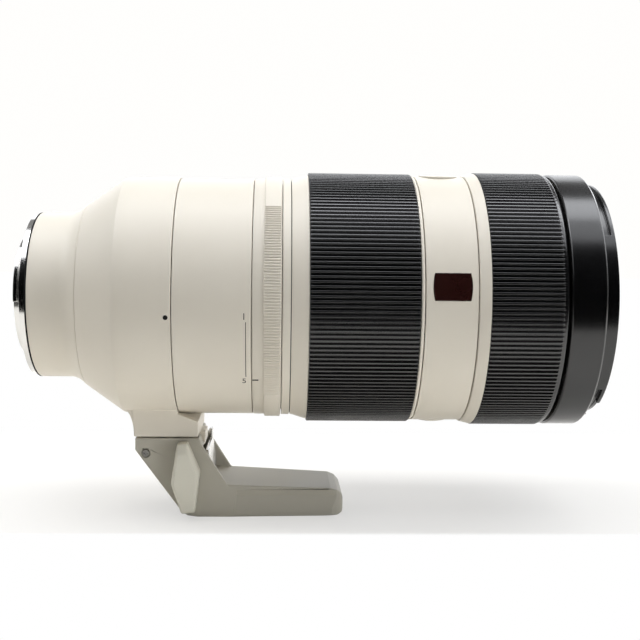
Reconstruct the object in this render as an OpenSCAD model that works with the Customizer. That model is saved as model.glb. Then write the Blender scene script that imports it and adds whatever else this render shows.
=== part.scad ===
// Telephoto zoom lens with a rotating tripod collar and a detachable foot.
// The optical axis is X and runs to the front, Z is up, and the origin is the centre of the mount seat.
// Angles about the axis start at +Y, the side with the switches, and turn towards +Z.

/* [Camera mount] */
// How far the mount flange lies below the rear barrel
flange_step = 0.8; // [0.4:0.1:1.2]
// Thickness of the mount flange
flange_t = 2; // [1.6:0.1:3]
// Outer radius of the bayonet neck
neck_r = 21.7; // [21:0.1:22]
// Wall of the bayonet neck
neck_wall = 1.9; // [1.5:0.1:3.5]
// Length of the neck behind the seat
neck_len = 3.6; // [3.2:0.1:6]
// Height of the bayonet lugs above the neck
lug_h = 1.2; // [0.6:0.1:2]
// Thickness of a bayonet lug
lug_t = 1.4; // [1:0.1:1.8]
// Arc of one bayonet lug, in degrees
lug_arc = 44; // [30:1:60]
// Number of mount screws
screw_count = 4; // [3:1:6]
// Radius of a mount screw head
screw_head_r = 1.7; // [1.3:0.1:1.8]
// Number of data contacts
contact_count = 10; // [6:1:12]

/* [Rear barrel] */
// Radius of the rear barrel
rear_r = 30.3; // [30:0.1:31]
// Thickness of the rubber mount seal
seal_t = 0.6; // [0.4:0.1:1]
// Length of the straight rear barrel
rear_len = 10.6; // [9:0.1:16]
// Length of the flare in front of it
flare_len = 6.25; // [5:0.05:8]
// Rise of the flare
flare_rise = 3.1; // [2.4:0.1:3.6]
// Wall of the barrel under the collar
rear_wall = 2.8; // [2:0.1:3]

/* [Tripod collar] */
// Length of the collar cone
cone_len = 13.55; // [11:0.05:18]
// Length of the collar ring
collar_len = 20.05; // [18:0.05:26]
// How far the collar stands above the body
collar_step = 0.3; // [0.1:0.1:1]
// Wall of the collar ring
collar_wall = 4.1; // [3.5:0.1:4.5]
// Width of the block under the collar
block_w = 34; // [32:0.5:40]
// Length of the block
block_len = 23; // [22:0.5:28]
// How far the block hangs below the collar
block_drop = 6.3; // [6:0.1:12]
// Thickness of the tongue that the block reaches forward with
tongue_t = 5.5; // [4:0.1:6]
// Radius of the collar lock knob
lock_r = 8; // [6:0.1:9]
// Height of the collar lock knob
lock_h = 9; // [7:0.1:14]

/* [Foot] */
// Gap between the block and the foot
foot_gap = 0.45; // [0.3:0.05:0.9]
// Height of the foot
foot_h = 28.9; // [27:0.1:36]
// Length of the foot from the arm to the nose
foot_len = 75.7; // [72:0.1:95]
// Height of the ledge at the arm
ledge_h = 11.8; // [11:0.1:14]
// Fall of the ledge towards the nose
ledge_fall = 1.6; // [0.4:0.1:2]
// Half width that the ledge loses towards the nose
ledge_taper = 2; // [0:0.1:3]
// Wall of each cheek of the arm
cheek_t = 1.8; // [1.6:0.1:3]
// Half width of the dovetail rail at its foot
rail_half = 8.5; // [7.5:0.1:9]
// Depth of the dovetail rail
rail_h = 4.2; // [3.5:0.1:4.4]
// Radius of the tripod thread
tripod_r = 2.55; // [2.5:0.05:4.8]
// Depth of the tripod thread
tripod_depth = 8.5; // [6:0.1:9]
// Length of the clamp knob
knob_len = 25.1; // [22:0.1:26]
// Width of the clamp knob
knob_w = 10.6; // [9:0.1:13]
// Thickness of the clamp knob
knob_t = 7.5; // [5:0.1:10]
// Radius of the clamp knob's shaft
knob_shaft_r = 2.6; // [2:0.1:3.4]

/* [Body] */
// Radius of the body
body_r = 43.5; // [43:0.1:46]
// Length of the body between the collar and the tension ring
body_len = 26.6; // [24:0.1:34]
// Axial gap at every seam
seam = 0.3; // [0.2:0.05:0.5]
// Radial gap between turning or sliding tubes
run_gap = 0.3; // [0.25:0.05:0.35]
// Thickness of the body's rear wall
bulkhead_t = 3; // [2.5:0.1:4]
// Travel of a switch slider
switch_travel = 3; // [2:0.1:3.5]

/* [Rings] */
// Length of the tension ring
tension_len = 9.9; // [8:0.1:14]
// Length of its ridged part
tension_ridged = 5.7; // [4:0.1:6.5]
// Number of ridges on the tension ring
tension_ridges = 278; // [200:1:300]
// Length of the narrow index ring
index_len = 2.8; // [2.5:0.1:5]
// Length of the zoom ring's flare
zoom_flare_len = 5.95; // [5.8:0.05:9]
// Length of the zoom grip
zoom_grip_len = 37.5; // [34:0.1:44]
// Length of the zoom ring's front lip
zoom_lip_len = 1.15; // [0.8:0.05:2]
// Thickness of the zoom grip
zoom_grip_t = 1.5; // [1.3:0.1:2.2]
// Number of ribs on the zoom grip
zoom_ribs = 173; // [100:1:200]
// Turn of the zoom ring, in degrees
zoom_turn = 75; // [60:1:78]
// Travel of the front barrel
zoom_travel = 82; // [70:0.5:82]
// Length of the button band
band_len = 17.8; // [17:0.1:24]
// Thickness of the button band
band_t = 2.3; // [2:0.1:2.8]
// Radius of a focus-hold button
button_r = 7; // [5:0.1:7.5]
// How far a button stands proud
button_proud = 0.25; // [0.1:0.05:0.6]
// How far the buttons lie round from square, in degrees
button_lean = 5.5; // [0:0.5:10]
// Length of the focus ring's rear lip
focus_lip_len = 3.85; // [2:0.05:6]
// Length of the focus grip
focus_grip_len = 26.2; // [22:0.1:32]
// Thickness of the focus grip
focus_grip_t = 1.75; // [1.5:0.05:2.4]
// Number of ribs on the focus grip
focus_ribs = 175; // [100:1:200]

/* [Front] */
// Width of the groove behind the front ring
groove_w = 1.1; // [0.9:0.1:2]
// Length of the front ring
front_len = 12.2; // [11:0.1:18]
// How far the front ring stands above the body
front_step = 3.15; // [2.8:0.05:4]
// Length of the hood bayonet
hood_len = 4.8; // [4:0.1:8]
// How far the hood bayonet lies below the front ring
hood_step = 3.4; // [3:0.1:4]
// Wall between the hood bayonet and the filter thread
filter_wall = 4.95; // [4.6:0.05:5.6]
// Length of the filter thread
filter_len = 5.5; // [4:0.1:6]
// Width of the rim around the front lens
lens_rim = 2.9; // [2.3:0.1:4.5]

/* [Inside] */
// Thickness of the sleeve that the rings turn on
sleeve_wall = 1; // [0.8:0.1:1.2]
// Wall of the front barrel
tube_wall = 1.6; // [1.4:0.1:1.8]
// Wall of the cam barrel
cam_wall = 1.5; // [1.3:0.1:1.7]
// Wall of the guide tube
guide_wall = 1.4; // [1.2:0.1:1.6]
// Radius of a cam follower
pin_r = 1.5; // [1.2:0.1:1.8]
// Length of the focus cell
focus_cell_len = 15; // [12:0.5:17]
// Travel of the focus cell
focus_travel = 14; // [10:0.5:15]
// Number of iris blades
blade_count = 9; // [9:1:9]
// Radial room of the iris mechanism
iris_room = 18.3; // [18:0.1:22]
// Turn of a blade from open to closed, in degrees
blade_turn = 35; // [20:1:38]
// Length of the variator cell
variator_len = 16; // [12:0.5:18]
// Travel of the variator
variator_travel = 30; // [20:0.5:31]
// Travel of the stabiliser each way
oss_travel = 0.8; // [0.4:0.1:1]

/* [Hidden] */

$fn = 96;

cream = [0.86, 0.84, 0.78];
foot_grey = [0.66, 0.64, 0.58];
black = [0.06, 0.06, 0.065];
steel = [0.8, 0.8, 0.82];
gold = [0.85, 0.68, 0.32];
glass = [0.55, 0.68, 0.72];
board_green = [0.1, 0.32, 0.18];

// Clearances and small steps
fit_gap = 0.1;
flat_gap = 0.3;
cut = 1;
shaft_gap = 0.06;
eps = 0.01;

flange_r = rear_r - flange_step;
throat_r = neck_r - neck_wall;
lug_r = neck_r + lug_h;
seal_w = 2.2;

// Stations along the axis
x_rear = flange_t + seal_t;
x_flare = x_rear + rear_len;
x_rear_end = x_flare + flare_len;
x_collar = x_rear_end + seam;
x_crease = x_collar + cone_len;
x_collar_end = x_crease + collar_len;
x_body = x_collar_end + seam;
x_bulkhead = x_body + bulkhead_t;
x_body_end = x_body + body_len;
x_tension = x_body_end + seam;
x_tension_end = x_tension + tension_len;
x_index = x_tension_end + seam;
x_index_end = x_index + index_len;
x_zoom = x_index_end + seam;
x_zoom_grip = x_zoom + zoom_flare_len;
x_zoom_lip = x_zoom_grip + zoom_grip_len;
x_zoom_end = x_zoom_lip + zoom_lip_len;
x_band = x_zoom_end + seam;
x_band_end = x_band + band_len;
x_focus = x_band_end + seam;
x_focus_grip = x_focus + focus_lip_len;
x_focus_end = x_focus_grip + focus_grip_len;
x_front = x_focus_end + groove_w;
x_hood = x_front + front_len;
x_tip = x_hood + hood_len;

// Radii from the body inwards
journal_r = body_r - 1.6;
shell_in = journal_r - 1;
sleeve_out = body_r - 0.5;
sleeve_in = sleeve_out - sleeve_wall;
tube_out = sleeve_in - run_gap;
tube_in = tube_out - tube_wall;
cam_out = tube_in - run_gap;
cam_in = cam_out - cam_wall;
guide_out = cam_in - run_gap;
guide_in = guide_out - guide_wall;
cell_r = guide_in - run_gap;
bulkhead_in = 0.71 * cell_r;

// Radii of the rings outside
collar_r = body_r + collar_step;
collar_in = collar_r - collar_wall;
rear_journal = collar_in - run_gap;
rear_in = rear_journal - rear_wall;
flare_r = rear_r + flare_rise;
cone_wall = 2.1;
cone_in = flare_r + seam - cone_wall;
ring_in = sleeve_out + run_gap;
ring_wall = 1.3;
zoom_seat = ring_in + ring_wall;
focus_seat = ring_in + ring_wall + 0.6;
zoom_r = zoom_seat + zoom_grip_t;
focus_r = focus_seat + focus_grip_t;
band_in = sleeve_out + fit_gap;
band_r = band_in + band_t;
front_r = body_r + front_step;
hood_r = front_r - hood_step;
filter_r = hood_r - filter_wall;
front_lens_r = filter_r - lens_rim;
rib_h = 0.75;
ridge_h = 0.45;

// Key that ties the cam barrel to the zoom ring, and its window
key_x = x_zoom + 1.2;
key_len = 4;
key_half = 4;
key_room = 3;
window_end = key_x + key_len + 1;

// Cam followers of the front barrel and of the variator
follower_x = key_x + 2.4;
follower_at = [for (k = [0:2]) zoom_turn / 2 + 60 + 120 * k];
variator_shift = 55;
variator_at = [for (a = follower_at) a + variator_shift];
slot_half = pin_r + run_gap;
cam_steps = 10;
cam_x0 = x_bulkhead + 1.4;
cam_x1 = x_focus_end - 3.4;
guide_x1 = cam_x1 - 7.5;

// Groups along the inside
focus_cell_x = x_bulkhead + 4;
iris_x = focus_cell_x + focus_cell_len + focus_travel + 3.5;
iris_plate = 2;
blade_t = 0.2;
blade_pitch = 0.35;
blade_x = iris_x + iris_plate + 0.15;
drive_x = blade_x + blade_count * blade_pitch + 0.15;
drive_t = 1.2;
iris_end = drive_x + drive_t + 0.4;
oss_x = iris_end + 2.5;
oss_base_t = 3;
oss_frame_t = 2.5;
oss_cell_t = 8;
oss_frame_x = oss_x + oss_base_t + flat_gap;
oss_cell_x = oss_frame_x + oss_frame_t + flat_gap;
variator_x = oss_cell_x + oss_cell_t + 5;
variator_pin_x = variator_x + variator_len / 2;

// Iris
iris_r = cell_r - iris_room;
pivot_r = iris_r + 10;
blade_pin_r = 0.8;
drive_arm = 4.5;
drive_pin_r = 0.6;
drive_hole_r = 0.85;
blade_lead = blade_turn / 2;
drive_lag = atan(drive_arm * sin(blade_lead) / (pivot_r + drive_arm * cos(blade_lead)));
drive_ring_r = pivot_r + drive_arm;
blade_arc = 70;

// Block and dovetail of the collar
block_x0 = x_crease + 4.5;
block_x1 = block_x0 + block_len;
block_z = -(collar_r + block_drop);
rail_neck = rail_half - 2;
rail_x0 = block_x0 + 3;
rail_x1 = block_x1 + 2;

// Foot
foot_x0 = block_x0 + 0.4;
foot_x1 = block_x1 + 0.4;
foot_top = block_z - foot_gap;
foot_z = foot_top - foot_h;
foot_nose = foot_x0 + foot_len;
foot_half = block_w / 2;
arm_run = 10.3;
ledge_x = foot_x1 + arm_run;
ledge_z = foot_z + ledge_h;
nose_z = ledge_z - ledge_fall;
nose_r = 6;
nose_half = foot_half - ledge_taper;
groove_depth = rail_h + flat_gap;
knob_x = foot_x0 + 18.5;
knob_drop = 1;
knob_z = foot_top - knob_drop - knob_len / 2;
knob_y = -foot_half - flat_gap;
stop_x = foot_x0 + 3.84;
stop_z = foot_top - 5.6;
stop_r = 1.2;
stop_ring = 0.3;
jaw_x = foot_x1 + 1.9;
jaw_t = 1.4;
jaw_lean = 1.6;
jaw_half = foot_half - cheek_t - 1;
jaw_z = knob_z - 0.45 * knob_shaft_r;
jaw_top = foot_top - groove_depth - flat_gap;
ear_in = rail_half + 1;
tripod_x = ledge_x + 14;

// Switches
panel_x0 = block_x1 + 1.2;
panel_x1 = x_body_end - 1.4;
panel_arc = 37;
panel_rise = 0.45;
panel_r = body_r + panel_rise;
pocket_r = journal_r + 0.4;
switch_at = [27, 9, -9, -27];
switch_len = 5;
switch_half = 1.7;
switch_rise = 1.3;
switch_x = (panel_x0 + panel_x1 - switch_len - switch_travel) / 2;

button_x = (x_band + x_band_end) / 2;
button_gap = 0.12;
button_floor = sleeve_out + 0.75;

// Places a shape along the optical axis: its own Z becomes X, its own X becomes Y
module on_axis() {
    rotate([90, 0, 90]) children();
}

// Turns a closed outline of [x, radius] points about the optical axis
module turn(points) {
    on_axis() rotate_extrude() polygon([for (p = points) [p[1], p[0]]]);
}

module tube(x0, x1, r_out, r_in) {
    turn([[x0, r_in], [x1, r_in], [x1, r_out], [x0, r_out]]);
}

// Part of a tube between two angles
module sector(x0, x1, r_out, r_in, a0, a1) {
    on_axis() rotate([0, 0, a0]) rotate_extrude(angle = a1 - a0)
        polygon([[r_in, x0], [r_in, x1], [r_out, x1], [r_out, x0]]);
}

// Pin that points away from the axis, at angle a
module radial_pin(x, r0, r1, a, r) {
    rotate([a, 0, 0]) translate([x, r0, 0]) rotate([-90, 0, 0]) cylinder(h = r1 - r0, r = r);
}

// Tube whose outside carries straight ribs with flat tops
module ribbed(x0, x1, r_out, r_in, count, rib_height, top_share) {
    step = 360 / count;
    low = r_out - rib_height;
    flat = step * top_share / 2;
    foot = flat + step * 0.12;
    points = [for (i = [0:count - 1], s = [[-foot, low], [-flat, r_out], [flat, r_out], [foot, low]])
        s[1] * [cos(i * step + s[0]), sin(i * step + s[0])]];
    on_axis() translate([0, 0, x0]) difference() {
        linear_extrude(x1 - x0) polygon(points);
        translate([0, 0, -cut]) cylinder(h = x1 - x0 + 2 * cut, r = r_in, $fn = 4 * $fn);
    }
}

// Cam slot: short straight cuts along a helix that a follower climbs as the barrel turns
module cam_slot(x, a, travel) {
    rise = travel / cam_steps;
    step = zoom_turn / cam_steps;
    run = cam_out * step * PI / 180;
    slope = atan(run / rise);
    for (i = [0:cam_steps - 1])
        rotate([a - step * (i + 0.5), 0, 0]) translate([x + rise * (i + 0.5), cam_out, 0]) rotate([0, slope, 0])
            cube([norm([rise, run]) + 2 * run_gap, 4 * cam_wall, 2 * slot_half], center = true);
    for (i = [0, cam_steps])
        radial_pin(x + rise * i, cam_in - cut, cam_out + cut, a - step * i, slot_half);
}

// Lens element: two spherical faces on a round edge, sag positive where the face bulges out
module element(x0, x1, r, rear_sag, front_sag) {
    steps = 12;
    rear = [for (i = [0:steps]) [x0 + rear_sag * (pow(i / steps, 2) - 1), r * i / steps]];
    front = [for (i = [steps:-1:0]) [x1 + front_sag * (1 - pow(i / steps, 2)), r * i / steps]];
    turn(concat(rear, front));
}

// Ring cell with a seat behind the lens
module cell(x0, x1, r_out, r_bore, seat_r, seat_t) {
    turn([[x0, seat_r], [x0 + seat_t, seat_r], [x0 + seat_t, r_bore], [x1, r_bore],
        [x1, r_out], [x0, r_out]]);
}

// Camera mount
module mount_screw_at() {
    for (i = [0:screw_count - 1]) rotate([45 + 360 / screw_count * i, 0, 0])
        translate([0, neck_r + (flange_r - neck_r) * 0.45, 0]) children();
}

screw_head_t = 0.9;
screw_shank_r = 0.9;
screw_len = 4.5;

module mount_bayonet() {
    color(steel) difference() {
        union() {
            tube(0, flange_t, flange_r, throat_r);
            tube(-neck_len, 0, neck_r, throat_r);
            for (i = [0:2])
                sector(-neck_len, lug_t - neck_len, lug_r, neck_r - fit_gap,
                    120 * i + 20, 120 * i + 20 + lug_arc);
        }
        mount_screw_at() on_axis() translate([0, 0, -cut])
            cylinder(h = flange_t + 2 * cut, r = screw_shank_r + shaft_gap);
        mount_screw_at() on_axis() translate([0, 0, -cut])
            cylinder(h = screw_head_t + cut, r = screw_head_r + shaft_gap);
    }
}

module mount_screws() {
    color(steel) mount_screw_at() on_axis() difference() {
        union() {
            translate([0, 0, 0.1]) cylinder(h = screw_head_t - 0.1, r = screw_head_r);
            translate([0, 0, screw_head_t]) cylinder(h = screw_len, r = screw_shank_r);
        }
        for (a = [0, 90]) rotate(a) cube([1.6, 0.4, 1], center = true);
    }
}

contact_r = throat_r - 1.9;
contact_x = 0.8 - neck_len;
contact_arc = 38;
baffle_x = flange_t + 0.2;
baffle_t = 2.5;

module contact_block() {
    color(black)
        sector(contact_x, baffle_x, throat_r - fit_gap, throat_r - 3.6, 270 - contact_arc, 270 + contact_arc);
}

module contact_pins() {
    step = 2 * (contact_arc - 5) / (contact_count - 1);
    color(gold) for (i = [0:contact_count - 1]) rotate([270 - contact_arc + 5 + step * i, 0, 0])
        translate([contact_x - 0.35, contact_r, 0]) on_axis() cylinder(h = 0.35, r = 0.6);
}

boss_in = neck_r + (flange_r - neck_r) * 0.23;

module rear_baffle() {
    color(black) difference() {
        on_axis() translate([0, 0, baffle_x]) cylinder(h = baffle_t, r = boss_in - fit_gap);
        translate([baffle_x + baffle_t / 2, 0, 0])
            cube([2 * baffle_t, 1.5 * throat_r, 1.1 * throat_r], center = true);
    }
}

module mount_seal() {
    color(black) tube(flange_t, x_rear, rear_r, rear_r - seal_w);
}

// Rear barrel
shelf_x = x_rear_end + 5.9;
shelf_r = rear_r + 0.1;
throat_in = boss_in + 3;
rear_lens_r = throat_in - 5.5;

module rear_barrel() {
    steps = 6;
    flare = [for (i = [0:steps]) [x_flare + flare_len * i / steps, rear_r + flare_rise * pow(i / steps, 2)]];
    neck = cone_in - seam - fit_gap;
    color(cream) difference() {
        turn(concat(
            [[flange_t, boss_in], [x_rear + 5.4, boss_in], [x_rear + 5.4, throat_in], [shelf_x, throat_in]],
            [[shelf_x, shelf_r], [x_crease + 1, rear_in], [x_body, rear_in], [x_body, rear_journal]],
            [[x_crease + 1, rear_journal], [x_collar + 0.6, neck], [x_rear_end, neck]],
            [for (i = [steps:-1:0]) flare[i]],
            [[x_rear, rear_r], [x_rear, rear_r - seal_w - fit_gap], [flange_t, rear_r - seal_w - fit_gap]]
        ));
        mount_screw_at() on_axis() cylinder(h = screw_head_t + screw_len + 0.3, r = screw_shank_r + shaft_gap);
    }
}

module circuit_board() {
    color(board_green) difference() {
        tube(shelf_x, shelf_x + 1.6, shelf_r - 0.4, throat_in - 4);
        for (a = [60:120:300]) rotate([a, 0, 0]) translate([shelf_x - cut, throat_in - 2, 0]) on_axis()
            cylinder(h = 4 * cut, r = 1);
    }
    color(black) for (a = [0:60:300]) rotate([a, 0, 0])
        translate([shelf_x + 1.6, throat_in - 3, -2.5]) cube([1.4, 4, 5]);
}

module rear_lens_cell() {
    color(black)
        cell(x_rear + 5.6, shelf_x - flat_gap, throat_in - fit_gap, rear_lens_r + fit_gap, rear_lens_r - 2, 1.8);
}

module rear_lens() {
    color(glass) element(x_rear + 7.4, x_rear + 12, rear_lens_r, -1.2, 2.4);
}

// Fixed body
module body_shell() {
    color(cream) difference() {
        turn([[x_body, bulkhead_in], [x_bulkhead, bulkhead_in], [x_bulkhead, shell_in], [x_index_end, shell_in],
            [x_index_end, journal_r], [x_body_end, journal_r], [x_body_end, body_r], [x_body, body_r]]);
        sector(panel_x0, panel_x1, panel_r, pocket_r, -panel_arc, panel_arc);
    }
}

module switch_slot(a) {
    rotate([a, 0, 0]) translate([switch_x - flat_gap, 0, -switch_half - flat_gap])
        cube([switch_len + switch_travel + 2 * flat_gap, panel_r + 1, 2 * (switch_half + flat_gap)]);
}

module switch_panel() {
    inset = atan(fit_gap / body_r);
    color(cream) difference() {
        sector(panel_x0 + fit_gap, panel_x1 - fit_gap, panel_r, pocket_r + fit_gap,
            inset - panel_arc, panel_arc - inset);
        for (a = switch_at) switch_slot(a);
    }
}

module slider(a) {
    color(black) rotate([a, 0, 0]) difference() {
        translate([switch_x, pocket_r + flat_gap, -switch_half])
            cube([switch_len, panel_r - pocket_r - flat_gap + switch_rise, 2 * switch_half]);
        for (i = [1:4])
            translate([switch_x + switch_len * i / 5 - 0.2, panel_r + switch_rise - 0.4, -switch_half - cut])
                cube([0.4, 1, 2 * switch_half + 2 * cut]);
    }
}

// Tripod collar
rear_run = 4;

module block_outline() {
    steps = 8;
    rear_rise = block_drop + 3.3;
    tongue_rise = 2.9;
    rear = [for (i = [0:steps]) [
        block_x0 - rear_run * (1 - sin(90 * i / steps)),
        block_z + rear_rise * cos(90 * i / steps)]];
    front = [[block_x1, block_z], [block_x1, block_z + tongue_t],
        [x_collar_end, block_z + tongue_t + tongue_rise]];
    polygon(concat([[block_x0 - rear_run, 0]], rear, front, [[x_collar_end, 0]]));
}

// Section of the block: each side leaves the collar along its tangent and bends down to the vertical
module block_section() {
    steps = 8;
    start = 38;
    half = block_w / 2;
    from_r = collar_r - 0.4;
    from = from_r * [sin(start), -cos(start)];
    bend = [half, (half * sin(start) - from_r) / cos(start)];
    end = [half, block_z + 3.6];
    side = [for (i = [0:steps]) let (t = i / steps, s = 1 - t) s * s * from + 2 * s * t * bend + t * t * end];
    polygon(concat([[0, 0]], side, [[half, block_z], [-half, block_z]],
        [for (i = [steps:-1:0]) [-side[i][0], side[i][1]]]));
}

// Plan of the block: the two rear corners are round
module block_plan() {
    steps = 6;
    half = block_w / 2 + eps;
    rear_half = 0.6 * half;
    side = [for (i = [0:steps]) [
        block_x0 - rear_run + 1.1 * rear_run * (1 - cos(90 * i / steps)),
        rear_half + (half - rear_half) * sin(90 * i / steps)]];
    polygon(concat(side, [[block_x1 + cut, half], [block_x1 + cut, -half]],
        [for (i = [steps:-1:0]) [side[i][0], -side[i][1]]]));
}

module rail(grow) {
    on_axis() translate([0, 0, rail_x0 - grow]) linear_extrude(rail_x1 - rail_x0 + grow)
        polygon([[rail_neck + grow, block_z + fit_gap], [rail_half + grow, block_z - rail_h - grow],
            [-rail_half - grow, block_z - rail_h - grow], [-rail_neck - grow, block_z + fit_gap]]);
}

lock_x = x_crease + collar_len / 2;
lock_seat = collar_r + 2.4;

module collar_ring() {
    color(cream) difference() {
        union() {
            turn([[x_collar, cone_in], [x_collar, flare_r + seam], [x_crease, collar_r - 0.7],
                [x_crease + 0.6, collar_r - 0.5], [x_crease + 2.4, collar_r - 0.2], [x_crease + 5, collar_r],
                [x_collar_end, collar_r], [x_collar_end, collar_in], [x_crease + 0.8, collar_in],
                [x_collar + 0.5, cone_in]]);
            difference() {
                intersection() {
                    rotate([90, 0, 0]) translate([0, 0, -block_w]) linear_extrude(2 * block_w) block_outline();
                    on_axis() translate([0, 0, x_collar]) linear_extrude(block_x1) block_section();
                    translate([0, 0, block_z - cut]) linear_extrude(-block_z) block_plan();
                }
                on_axis() translate([0, 0, x_collar - cut])
                    cylinder(h = x_body - x_collar + cut, r = collar_r - 1);
                on_axis() translate([0, 0, x_collar_end]) cylinder(h = block_x1, r = body_r + 0.4);
                on_axis() translate([0, 0, x_collar - cut])
                    cylinder(h = x_crease - x_collar + cut + 2, r1 = flare_r - 2, r2 = collar_r - 1);
            }
            radial_pin(lock_x, collar_in + 1, lock_seat, 0, lock_r + 0.6);
            rail(0);
        }
        radial_pin(lock_x, collar_in - cut, lock_seat + cut, 0, knob_shaft_r + shaft_gap);
        on_axis() translate([0, 0, x_crease + 0.8]) cylinder(h = x_collar_end - x_crease, r = collar_in);
    }
}

module collar_knob() {
    color(cream) union() {
        translate([lock_x, lock_seat + flat_gap, 0]) rotate([-90, 0, 0]) difference() {
            linear_extrude(lock_h)
                polygon([for (i = [0:59]) (lock_r - (i % 2) * 0.5) * [cos(i * 6), sin(i * 6)]]);
            translate([0, 0, lock_h - 0.8]) cylinder(h = 2, r = lock_r - 2);
        }
        radial_pin(lock_x, collar_in + flat_gap, lock_seat + flat_gap, 0, knob_shaft_r);
    }
}

// Foot
module foot_side() {
    polygon([[foot_x0, foot_top], [foot_x1, foot_top], [foot_x1 + 0.6, foot_top - 2], [ledge_x, ledge_z],
        [foot_nose - 4.8, nose_z], [foot_nose - 2.3, nose_z - 0.8], [foot_nose - 0.7, nose_z - 2.3],
        [foot_nose, nose_z - 4.6], [foot_nose, foot_z + 1.3], [foot_nose - 0.6, foot_z + 0.4],
        [foot_nose - 2, foot_z], [foot_x0 + 22.5, foot_z], [foot_x0 + 19, foot_z + 0.5],
        [foot_x0 + 17.2, foot_z + 1.4], [foot_x0 + 0.7, foot_top - 5.4], [foot_x0, foot_top - 4.3]]);
}

module foot_plan() {
    steps = 5;
    corner = [for (i = [0:steps]) [
        foot_nose - nose_r + nose_r * sin(90 * i / steps),
        nose_half - nose_r + nose_r * cos(90 * i / steps)]];
    polygon(concat([[foot_x0 - cut, -foot_half], [foot_x0 - cut, foot_half], [ledge_x, foot_half]], corner,
        [for (i = [steps:-1:0]) [corner[i][0], -corner[i][1]]], [[ledge_x, -foot_half]]));
}

waist_depth = 1;
waist_x = ledge_x + 3;

module foot_waist(side) {
    lean = atan(ledge_taper / (foot_nose - nose_r - ledge_x));
    translate([waist_x, side * (foot_half - (waist_x - ledge_x) * tan(lean)), 0]) rotate([0, 0, -side * lean])
        on_axis() linear_extrude(foot_nose)
            polygon([[0, ledge_z - 1.8], [side, ledge_z - 1], [side, foot_z + 1], [0, foot_z + 1.6],
                [-side * waist_depth, ledge_z - 0.36 * ledge_h]]);
}

module foot_hollow() {
    back = foot_x0 + 10;
    rotate([90, 0, 0]) translate([0, 0, cheek_t - foot_half]) linear_extrude(2 * (foot_half - cheek_t))
        polygon([[back, foot_top - groove_depth + cut], [foot_x1 + arm_run, foot_top - groove_depth + cut],
            [ledge_x + cut, ledge_z], [ledge_x - 1.5, ledge_z], [back + 4, ledge_z + 2]]);
}

module foot() {
    color(foot_grey) difference() {
        intersection() {
            rotate([90, 0, 0]) translate([0, 0, -block_w]) linear_extrude(2 * block_w) foot_side();
            translate([0, 0, foot_z - cut]) linear_extrude(foot_h + 2 * cut) foot_plan();
        }
        foot_waist(1);
        foot_waist(-1);
        foot_hollow();
        rail(flat_gap);
        translate([rail_x1 - cut, 0, 0]) on_axis() linear_extrude(arm_run)
            polygon([[rail_neck + flat_gap, foot_top + cut], [rail_half + flat_gap, foot_top - groove_depth],
                [-rail_half - flat_gap, foot_top - groove_depth], [-rail_neck - flat_gap, foot_top + cut]]);
        translate([tripod_x, 0, foot_z - cut]) cylinder(h = tripod_depth + cut, r = tripod_r);
        translate([knob_x, -foot_half - cut, knob_z]) rotate([-90, 0, 0])
            cylinder(h = cheek_t + 2 * cut, r = knob_shaft_r + shaft_gap);
        translate([stop_x, -foot_half - cut, stop_z]) rotate([-90, 0, 0])
            cylinder(h = cut + stop_t + 0.1, r = stop_r + stop_ring);
        translate([stop_x, -foot_half, stop_z]) rotate([-90, 0, 0])
            cylinder(h = stop_t + stop_shank, r = stop_r / 2 + shaft_gap);
    }
}

stop_t = 1.1;
stop_shank = 3;

module foot_stop_screw() {
    color(steel) translate([stop_x, -foot_half + 0.1, stop_z]) rotate([-90, 0, 0]) difference() {
        union() {
            cylinder(h = stop_t, r = stop_r);
            cylinder(h = stop_t + stop_shank - 0.3, r = stop_r / 2);
        }
        for (a = [0, 90]) rotate(a) cube([1.5, 0.45, 1.2], center = true);
    }
}

// Leaning jaw plate at the open front of the arm, with an ear beside the rail at its far end
// and a lug that the knob's shaft bears on
module foot_clamp_jaw() {
    lug_len = jaw_x + jaw_lean - knob_x + knob_shaft_r;
    lug_w = 4;
    color(steel) union() {
        rotate([90, 0, 0]) translate([0, 0, -jaw_half]) linear_extrude(2 * jaw_half)
            polygon([[jaw_x + jaw_lean, jaw_z], [jaw_x + jaw_lean + jaw_t, jaw_z], [jaw_x + jaw_t, jaw_top],
                [jaw_x, jaw_top]]);
        translate([jaw_x, ear_in, jaw_top - eps])
            cube([jaw_t, jaw_half - ear_in, foot_top - knob_drop - jaw_top]);
        translate([jaw_x + jaw_lean - lug_len, -jaw_half, jaw_z])
            cube([lug_len + eps, lug_w, 2 * knob_shaft_r]);
    }
}

// Six-sided clamp knob, long and slightly turned, with a bevelled face
knob_tilt = 5.5;
knob_bevel = 2;

module knob_outline(inset) {
    tip = knob_w * 0.17;
    toe = knob_w * 0.22;
    top = knob_len / 2 - 1.8 * inset;
    bottom = inset / 4 - knob_len / 2;
    side = knob_w / 2 - inset / 2;
    waist = knob_len * 0.06;
    polygon([[-tip, top], [tip, top], [side, waist], [toe, bottom], [-toe, bottom], [-side, -waist]]);
}

module foot_knob() {
    color(foot_grey) translate([knob_x, knob_y, knob_z]) rotate([90, -knob_tilt, 0]) union() {
        hull() {
            linear_extrude(knob_t - knob_bevel) knob_outline(0);
            linear_extrude(knob_t) knob_outline(knob_bevel);
        }
        rotate([180, 0, 0]) cylinder(h = cheek_t + 1, r = knob_shaft_r);
    }
}

// Rings
module tension_ring() {
    ridge_x = x_tension_end - tension_ridged - 0.25;
    color(cream) union() {
        tube(x_tension, ridge_x, body_r + 0.1, journal_r + run_gap);
        ribbed(ridge_x, x_tension_end - 0.25, body_r + 0.95, journal_r + run_gap, tension_ridges, ridge_h, 0.4);
        tube(x_tension_end - 0.25, x_tension_end, body_r + 0.4, journal_r + run_gap);
    }
}

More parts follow.
